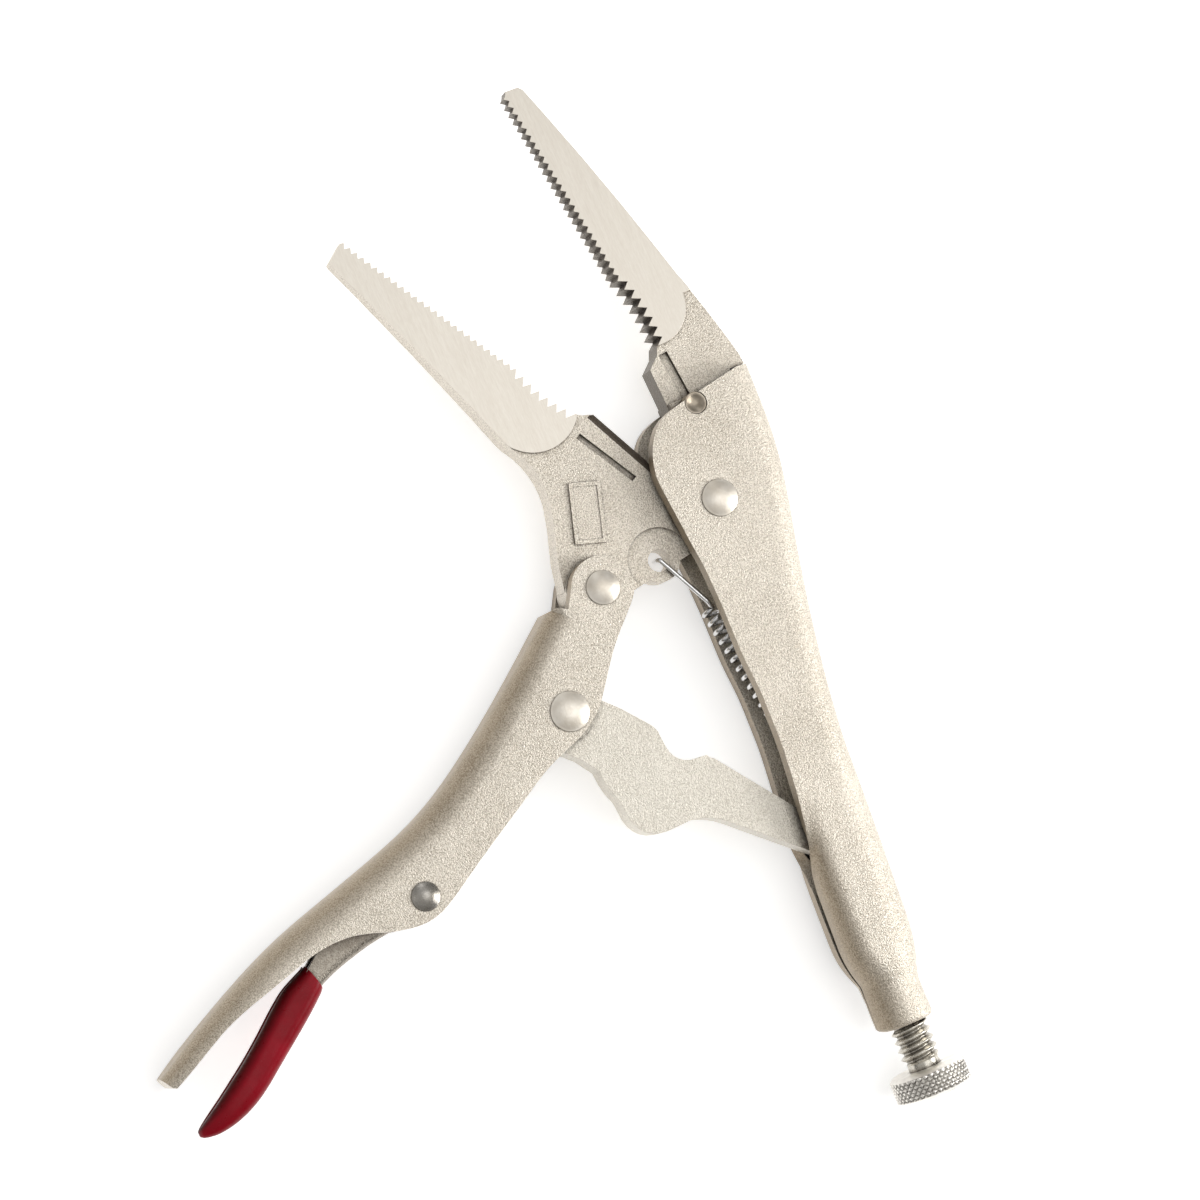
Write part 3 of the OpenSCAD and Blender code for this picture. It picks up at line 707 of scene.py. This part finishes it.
def lever_shell():
    """Folded channel along the lever's web, with flanges that are too deep all over."""
    (xs, ys), length = station_tables(corner_cut(LEVER_WEB))
    bends = [(0.0, 3.8), (20.0, 4.6), (80.0, 4.4), (length, 3.0)]
    heights = [(0.0, 24.0), (70.0, 17.0), (length, 10.0)]
    count = int((length + LEVER_EARS) / LEVER_STEP)
    rings = []
    for i in range(count + 1):
        s = -LEVER_EARS + (length + LEVER_EARS) * i / count
        ahead = min(max(s, 0.0) + 1.5, length)
        behind = max(s - 1.5, 0.0)
        dx = table_value(xs, ahead) - table_value(xs, behind)
        dy = table_value(ys, ahead) - table_value(ys, behind)
        size = (dx * dx + dy * dy) ** 0.5
        dx, dy = dx / size, dy / size
        x, y = table_value(xs, s), table_value(ys, s)
        if s < 0:
            x, y = x + dx * s, y + dy * s
        # beyond the web's end only the flat ears are left, so the bend moves out of the way
        out = min(max(-s - 1.2, 0.0) * 3.0, 5.0)
        tail = max(s - (length - TAIL_LENGTH), 0.0) / TAIL_LENGTH
        half = HALF_WIDTH - TAIL_NARROWING * tail ** 3
        ring = channel_ring(half, table_value(heights, s) + out, table_value(bends, s))
        rings.append([row(x - dy * (v - out), y + dx * (v - out), u) for u, v in ring])
    return ring_loft("lever_shell", rings, LEVER_STEEL, channel_caps())


def lever_handle():
    obj = lever_shell()
    tidy_mesh(obj)
    eye = []
    for i in range(EYE_STEPS + 1):
        a = radians(EYE_START + EYE_SWEEP * i / EYE_STEPS)
        eye.append((LEVER_PIVOT[0] + EYE_RADIUS * cos(a), LEVER_PIVOT[1] + EYE_RADIUS * sin(a)))
    outline = corner_cut(LEVER_EDGE, 2) + eye + LEVER_RIM
    trim(obj, prism("outline", outline, -9, 9), "INTERSECT")
    inner = HALF_WIDTH - SHEET
    trim(obj, prism("mouth", LEVER_MOUTH, -inner, inner), "DIFFERENCE")
    tidy_mesh(obj)
    soften(obj, HANDLE_ROUNDING)
    return obj


# ---- turned parts ----


def spun(name, profile, steps, centre, axis, material):
    """Turns a profile of (radius, along) millimetres round an axis through centre."""
    vertices, faces = [], []
    rows = len(profile)
    for i in range(steps):
        a = 2 * pi * i / steps
        for r, z in profile:
            u, v, w = r * cos(a) * MM, r * sin(a) * MM, z * MM
            offset = Vector((u, v, w)) if axis == "Z" else Vector((w, u, v))
            vertices.append(centre + offset)
    for i in range(steps):
        k = (i + 1) % steps
        for j in range(rows - 1):
            faces.append((i * rows + j, k * rows + j, k * rows + j + 1, i * rows + j + 1))
    obj = add_mesh(name, vertices, faces, material)
    tidy_mesh(obj, 40.0)
    return obj


RIVET_HEIGHT = 1.0
RIVET_WALL = 0.1
# Drop of a rivet's shoulder from its wall to its dome, and how far it sinks in the flank
RIVET_SHOULDER = 0.15
RIVET_SUNK = 0.02


def mirrored(side):
    """Profile on both sides of the middle, from that of one side."""
    return [(r, -z) for r, z in side[::-1]] + side


def rivet(name, at, shank, head, material):
    """Headed rivet: a low dome with a small side wall on both flanks."""
    side = [(shank, HALF_WIDTH - RIVET_SUNK), (head - 0.05, HALF_WIDTH - RIVET_SUNK),
            (head, HALF_WIDTH + 0.05)]
    for i in range(5):
        a = pi / 2 * i / 4
        side.append((head * (0.95 + 0.05 * cos(a)),
                     HALF_WIDTH + RIVET_WALL + RIVET_SHOULDER * sin(a)))
    crown = RIVET_HEIGHT - RIVET_WALL - RIVET_SHOULDER
    for i in range(1, 10):
        s = 1 - i / 9
        side.append((head * 0.95 * s, HALF_WIDTH + RIVET_HEIGHT - crown * s * s))
    return spun(name, mirrored(side), 64, row(*at), "Z", material)


STAKED_RADIUS = 1.8
DISH_RADIUS = 1.5
DISH_DEPTH = 0.55


def staked_rivet():
    """Rivet of the fixed jaw, flush with the flanks and dished at both ends."""
    flush = HALF_WIDTH - 0.12
    side = [(STAKED_RADIUS, flush - 0.12), (1.72, flush), (DISH_RADIUS, flush)]
    for i in range(1, 7):
        s = 1 - i / 6
        side.append((DISH_RADIUS * s, flush - DISH_DEPTH * (1 - s ** 2)))
    return spun("staked_rivet", mirrored(side), 48, row(*JAW_RIVET), "Z", STAKED_STEEL)


THREAD_PITCH = 1.4
THREAD_RADIUS = 3.175
THREAD_DEPTH = 0.75
THREAD_TIP = -65.4
HEAD_START = -96.4
HEAD_END = -100.9
HEAD_RADIUS = 6.35


THREAD_AROUND = 48
ROWS_PER_PITCH = 12
TIP_RADIUS = 2.2
NECK_RADIUS = 2.65
NECK_LENGTH = 1.2
NECK_RUN = 0.7


def thread():
    """Adjusting screw with a true helical thread, a chamfered tip and a plain neck."""
    length = THREAD_TIP - HEAD_START
    rows = int(length / THREAD_PITCH * ROWS_PER_PITCH)
    rings = []
    for i in range(rows + 1):
        x = THREAD_TIP - length * i / rows
        neck = x - HEAD_START
        ring = []
        for j in range(THREAD_AROUND):
            a = 2 * pi * j / THREAD_AROUND
            phase = (THREAD_TIP - x) / THREAD_PITCH + j / THREAD_AROUND
            phase -= floor(phase)
            ridge = min(max((abs(phase - 0.5) * 2 - 0.14) / 0.72, 0.0), 1.0)
            radius = min(THREAD_RADIUS - THREAD_DEPTH * ridge, TIP_RADIUS + 0.9 * (THREAD_TIP - x))
            if neck < NECK_LENGTH:
                radius = NECK_RADIUS
            elif neck < NECK_LENGTH + NECK_RUN:
                radius = min(radius, NECK_RADIUS + (neck - NECK_LENGTH) * 0.7)
            ring.append(row(x, SCREW_Y + radius * cos(a), radius * sin(a)))
        rings.append(ring)
    obj = ring_loft("thread", rings, THREAD_STEEL)
    tidy_mesh(obj, 50.0)
    return obj


KNURL_DIAMONDS = 38
KNURL_STEPS = 8
KNURL_ROWS = 30
KNURL_DEPTH = 0.27
KNURL_RUN = 0.2
KNURL_LOW = HEAD_END + 0.55
KNURL_HIGH = HEAD_START - 0.5
# Rings of the head's two faces and chamfers: the place and the radius
HEAD_BACK = [
    (HEAD_END, 0.6), (HEAD_END, 3.0), (HEAD_END, HEAD_RADIUS - 0.8),
    (HEAD_END + 0.12, HEAD_RADIUS - 0.55)]
HEAD_FRONT = [
    (HEAD_START - 0.1, HEAD_RADIUS - 0.5), (HEAD_START, HEAD_RADIUS - 0.7), (HEAD_START, 4.5),
    (HEAD_START, 2.66)]


def knurl_radius(x, around):
    """Radius of the knurled band; around is the place round the head, in diamonds."""
    along = (x - KNURL_LOW) / (2 * pi * HEAD_RADIUS / KNURL_DIAMONDS)
    depth = 0.0
    for turn in (around + along, around - along):
        off = abs(turn - floor(turn) - 0.5)
        if off < 0.25:
            depth = max(depth, 1.0 - off * 4.0)
    fade = max(min(1.0, (x - KNURL_LOW) / KNURL_RUN, (KNURL_HIGH - x) / KNURL_RUN), 0.0)
    return HEAD_RADIUS - KNURL_DEPTH * depth * fade - 0.03


def knob():
    """Knurled head: a band of crossed grooves between two chamfers."""
    steps = KNURL_DIAMONDS * KNURL_STEPS

    def ring(x, radii):
        angles = [2 * pi * j / steps for j in range(steps)]
        return [row(x, SCREW_Y + r * cos(a), r * sin(a)) for r, a in zip(radii, angles)]

    rings = [ring(x, [radius] * steps) for x, radius in HEAD_BACK]
    for i in range(KNURL_ROWS + 1):
        x = KNURL_LOW + (KNURL_HIGH - KNURL_LOW) * i / KNURL_ROWS
        rings.append(ring(x, [knurl_radius(x, j / KNURL_STEPS) for j in range(steps)]))
    rings += [ring(x, [radius] * steps) for x, radius in HEAD_FRONT]
    obj = ring_loft("knurled_knob", rings, KNOB_STEEL)
    tidy_mesh(obj, 36.0)
    return obj


# ---- spring ----

COIL_FRONT = (-15.7, 6.5)
COIL_BACK = (-42.4, 1.6)
COIL_RADIUS = 1.42
WIRE_RADIUS = 0.38
HOOK_HEIGHT = 2.65
TAIL_REACH = 3.4
TAIL_HEIGHT = 1.3
SPRING_HOLE = (-5.6, 12.0)
COIL_TURNS = 16
COIL_STEPS = 16
# Where the visible spring begins to follow the jaw, and where it follows it fully
STRETCH_START = (-16.3, 6.4)
STRETCH_END = (-6.5, 11.6)


def tube(name, path, radius, material, sides=10):
    """Round wire along a path of row-frame points, closed at both ends."""
    rings = []
    side = None
    for i, p in enumerate(path):
        ahead = (path[min(i + 1, len(path) - 1)] - path[max(i - 1, 0)]).normalized()
        if side is None:
            side = ahead.cross(Vector((0.0, 0.0, 1.0)))
            if side.length < 0.1:
                side = ahead.cross(Vector((1.0, 0.0, 0.0)))
        side = (side - ahead * side.dot(ahead)).normalized()
        other = ahead.cross(side)
        angles = [2 * pi * j / sides for j in range(sides)]
        rings.append([p + side * radius * cos(a) + other * radius * sin(a) for a in angles])
    obj = ring_loft(name, rings, material)
    tidy_mesh(obj, 60.0)
    return obj


def spring():
    """Coil between a bent rear end and a straight front hook, as one wire."""
    front, back = Vector(COIL_FRONT), Vector(COIL_BACK)
    axis = (front - back).normalized()
    across = Vector((-axis.y, axis.x))
    length = (front - back).length
    count = COIL_TURNS * COIL_STEPS
    turns = []
    for i in range(count + 1):
        s = i / count
        a = 2 * pi * COIL_TURNS * (s - 1.0) + pi / 2
        at = back + axis * (length * s) + across * (COIL_RADIUS * cos(a))
        turns.append((at.x, at.y, COIL_RADIUS * sin(a)))
    end = back - axis * TAIL_REACH
    rear = [(end.x, end.y, -TAIL_HEIGHT), (end.x, end.y, 0.0),
            (back.x - axis.x * 1.4, back.y - axis.y * 1.4, 0.0)]
    hole_x, hole_y = SPRING_HOLE
    hook = [(front.x + 1.2, front.y + 0.6, HOOK_HEIGHT - 0.4),
            (hole_x - 0.4, hole_y - 0.2, HOOK_HEIGHT),
            (hole_x + 0.1, hole_y + 0.1, HOOK_HEIGHT - 0.1), (hole_x + 0.1, hole_y + 0.1, -0.5)]
    path = [row(*p) for p in corner_cut(rear) + turns + corner_cut(hook)]
    return tube("return_spring", path, WIRE_RADIUS * MM, SPRING_STEEL)


# ---- release lever and its dipped grip ----

# Stations of the release channel from its nose to its tail: x and y of its web, and of
# its open edge
RELEASE = [
    (-33.6, 61.2, -31.0, 59.4), (-38.0, 64.0, -33.4, 62.8), (-41.3, 68.6, -35.6, 69),
    (-43.6, 73.6, -37.3, 74), (-44.1, 77.9, -38.7, 79), (-45.7, 84.0, -40.8, 85),
    (-47.4, 88.2, -44.3, 89.1), (-50.1, 91.7, -46.3, 92.3), (-53, 95.2, -49.2, 95.4),
    (-56, 99, -52.8, 99.6)]
RELEASE_HALF = 2.6
RELEASE_SHEET = 1.4
RELEASE_BEND = 1.5
RELEASE_RINGS = 56
BOSS_HALF = 3.35
BOSS_RADIUS = 3.0
BOSS_BORE = 1.65


def release_channel():
    tables, length = station_tables(RELEASE)
    rings = []
    for i in range(RELEASE_RINGS + 1):
        s = length * i / RELEASE_RINGS
        wx, wy, ex, ey = (smooth_value(t, s, 2.0) for t in tables)
        depth = ((ex - wx) ** 2 + (ey - wy) ** 2) ** 0.5
        ux, uy = (ex - wx) / depth, (ey - wy) / depth
        ring = channel_ring(RELEASE_HALF, depth, RELEASE_BEND, sheet=RELEASE_SHEET)
        rings.append([row(wx + ux * v, wy + uy * v, u) for u, v in ring])
    obj = ring_loft("release_channel", rings, RELEASE_STEEL, channel_caps())
    tidy_mesh(obj)
    soften(obj, 0.25)
    return obj


def release_boss():
    """Boss that centres the release lever between the flanges."""
    side = [(BOSS_BORE, BOSS_HALF), (BOSS_RADIUS - 0.2, BOSS_HALF), (BOSS_RADIUS, BOSS_HALF - 0.2)]
    profile = mirrored(side) + [(BOSS_BORE, -BOSS_HALF)]
    return spun("release_boss", profile, 48, row(*RELEASE_PIVOT), "Z", RELEASE_STEEL)


# Stations of the grip from its mouth to its tip: x and y of the outer and of the inner
# point, and the half width
GRIP = [
    (-47.6, 87.6, -43.4, 89.0, 2.95), (-48.3, 88.1, -43.7, 89.3, 3.05),
    (-50.4, 90.6, -45.3, 93.1, 3.2), (-53, 94, -47.6, 96.1, 3.25),
    (-56, 98, -50.6, 99.6, 3.25), (-58.6, 101.4, -53.5, 103.3, 3.25),
    (-60.2, 104, -55.3, 105.9, 3.2), (-61.4, 107, -57, 108.3, 3.05),
    (-62, 110, -58.5, 110.6, 2.6), (-62, 111.8, -59.4, 112, 1.9),
    (-61.7, 112.9, -60, 112.9, 1.1), (-61.3, 113.3, -60.4, 113.3, 0.45)]
GRIP_RINGS = 48
# Largest radius of its outer corners and of its lips, depth of its groove, half its slit
GRIP_BEND, GRIP_LIP, GRIP_GROOVE, GRIP_SLIT = 2.3, 2.0, 2.4, 0.7


def grip_section(depth, half):
    """Points (along the depth, across) of one half of the grip's section."""
    bend = min(GRIP_BEND, depth * 0.45, half * 0.75)
    lip = min(GRIP_LIP, depth * 0.38, half * 0.62)
    groove = min(GRIP_GROOVE, depth * 0.5)
    slit = min(GRIP_SLIT, half * 0.3)
    points = [(0.0, (half - bend) * i / 3) for i in range(3)]
    for i in range(9):
        a = pi / 2 * i / 8
        points.append((bend - bend * cos(a), half - bend + bend * sin(a)))
    flank = depth - lip - bend
    for i in range(1, 6):
        s = i / 6
        points.append((bend + flank * s, half))
    for i in range(7):
        a = pi / 2 * i / 6
        points.append((depth - lip + lip * sin(a), half - lip + lip * cos(a)))
    points += [(depth, (half - lip + slit) / 2), (depth - 0.08, slit + 0.1), (depth - 0.3, slit)]
    points += [(depth - groove + 0.2, slit * 0.8), (depth - groove, slit * 0.5)]
    return points


def release_grip():
    tables, length = station_tables(GRIP)
    rings = []
    for i in range(GRIP_RINGS + 1):
        s = length * i / GRIP_RINGS
        reach = min(1.6, s * 0.9, (length - s) * 0.9)
        ox, oy, ix, iy, half = (smooth_value(t, s, reach + 1e-6) for t in tables)
        depth = ((ix - ox) ** 2 + (iy - oy) ** 2) ** 0.5
        ux, uy = (ix - ox) / depth, (iy - oy) / depth
        section = grip_section(depth, half)
        ring = [(d, -w) for d, w in section[:0:-1]] + section
        rings.append([row(ox + ux * d, oy + uy * d, w) for d, w in ring])
    obj = ring_loft("dipped_grip", rings, VINYL)
    tidy_mesh(obj, 50.0)
    return obj


# ---- assembly ----


def from_cad(node, name, material, width):
    """Welded copy of a CAD node's mesh, with rounded edges."""
    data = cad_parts[node].data.copy()
    data.name = name
    if data.has_custom_normals:
        for attribute in [a for a in data.attributes if a.name == "custom_normal"]:
            data.attributes.remove(attribute)
    data.materials.clear()
    data.materials.append(material)
    for polygon in data.polygons:
        polygon.material_index = 0
    obj = bpy.data.objects.new(name, data)
    bpy.context.scene.collection.objects.link(obj)
    tidy_mesh(obj, 30.0, 0.6)
    soften(obj, width)
    return obj


def take_place(obj, node, body):
    """obj stands for the CAD node and moves with that body."""
    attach(obj, body)
    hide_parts(node)


take_place(fixed_handle(), "fixed_handle", "fixed_side")
take_place(from_cad("upper_jaw", "upper_jaw_forging", UPPER_STEEL, 0.15), "upper_jaw", "fixed_side")
take_place(staked_rivet(), "upper_jaw_rivet", "fixed_side")
take_place(rivet("jaw_pivot_pin", JAW_PIVOT, 2.2, 3.0, RIVET_STEEL), "jaw_pivot_rivet", "fixed_side")
take_place(from_cad("lower_jaw", "lower_jaw_forging", LOWER_STEEL, 0.15), "lower_jaw", "moving_jaw")
take_place(lever_handle(), "lever_handle", "lever")
take_place(rivet("lever_pivot_pin", LEVER_PIVOT, 2.0, 2.75, RIVET_STEEL), "lever_pivot_rivet",
           "lever")
take_place(rivet("link_pivot_pin", LINK_PIVOT, 2.3, 3.2, RIVET_STEEL), "link_pivot_rivet", "lever")
take_place(rivet("release_pin", RELEASE_PIVOT, 1.6, 2.3, DARK_RIVET), "release_pivot_rivet", "lever")
take_place(from_cad("toggle_link", "toggle_link_plate", LINK_STEEL, 0.45), "toggle_link", "link")
take_place(release_channel(), "release_lever", "release")
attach(release_boss(), "release")
take_place(release_grip(), "release_grip", "release")
take_place(thread(), "adjusting_screw", "screw")
take_place(knob(), "screw_head", "screw_head")

coil = spring()
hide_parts("tension_spring")
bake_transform(coil, "fixed_side", "moving_jaw", start=tuple(row(*STRETCH_START)),
         end=tuple(row(*STRETCH_END)))

# ---- floor and light ----


FLOOR_HALF = 3.0
# Name, place, size in metres, power in watts and tint of each light
LIGHTS = [
    ("key", (-0.32, -0.66, 0.36), 0.5, 3.6, (1.0, 0.99, 0.97)),
    ("rim", (0.75, -0.1, 0.32), 0.5, 0.7, (1.0, 1.0, 1.0)),
    ("fill", (0.2, 0.75, 0.42), 0.6, 0.4, (1.0, 0.98, 0.96)),
    ("softbox", (0.0, -0.25, 0.95), 0.8, 1.8, (1.0, 1.0, 1.0))]
# Height at which the sky stops growing brighter, and its strength at the horizon and there
SKY_TOP, SKY_LOW, SKY_HIGH = 0.9, 0.08, 0.6


def pale_floor():
    corners = [(-FLOOR_HALF, -FLOOR_HALF, 0), (FLOOR_HALF, -FLOOR_HALF, 0),
               (FLOOR_HALF, FLOOR_HALF, 0), (-FLOOR_HALF, FLOOR_HALF, 0)]
    add_mesh("floor", corners, [(0, 1, 2, 3)], painted_floor("floor_paint"))


def area_light(name, at, size, power, tint):
    """Round soft light that aims at the middle of the object."""
    data = bpy.data.lights.new(name, "AREA")
    data.shape = "DISK"
    data.size = size
    data.energy = power
    data.color = tint
    lamp = bpy.data.objects.new(name, data)
    bpy.context.scene.collection.objects.link(lamp)
    lamp.location = at
    lamp.rotation_euler = (-Vector(at)).to_track_quat("-Z", "Y").to_euler()


pale_floor()
for light in LIGHTS:
    area_light(*light)


def studio_world():
    """Pale above, darker towards the horizon, so that the bends of the steel show."""
    world = bpy.data.worlds.new("studio")
    bpy.context.scene.world = world
    world.use_nodes = True
    tree = world.node_tree
    coords = tree.nodes.new("ShaderNodeTexCoord")
    split = tree.nodes.new("ShaderNodeSeparateXYZ")
    ramp = tree.nodes.new("ShaderNodeMapRange")
    ramp.inputs["From Min"].default_value = 0.0
    ramp.inputs["From Max"].default_value = SKY_TOP
    ramp.inputs["To Min"].default_value = SKY_LOW
    ramp.inputs["To Max"].default_value = SKY_HIGH
    tree.links.new(coords.outputs["Generated"], split.inputs[0])
    tree.links.new(split.outputs["Z"], ramp.inputs["Value"])
    tree.links.new(ramp.outputs["Result"], tree.nodes["Background"].inputs["Strength"])
    tree.nodes["Background"].inputs["Color"].default_value = (1.0, 0.99, 0.97, 1.0)


studio_world()
bpy.context.scene.view_settings.view_transform = "Standard"

bpy.context.view_layer.update()
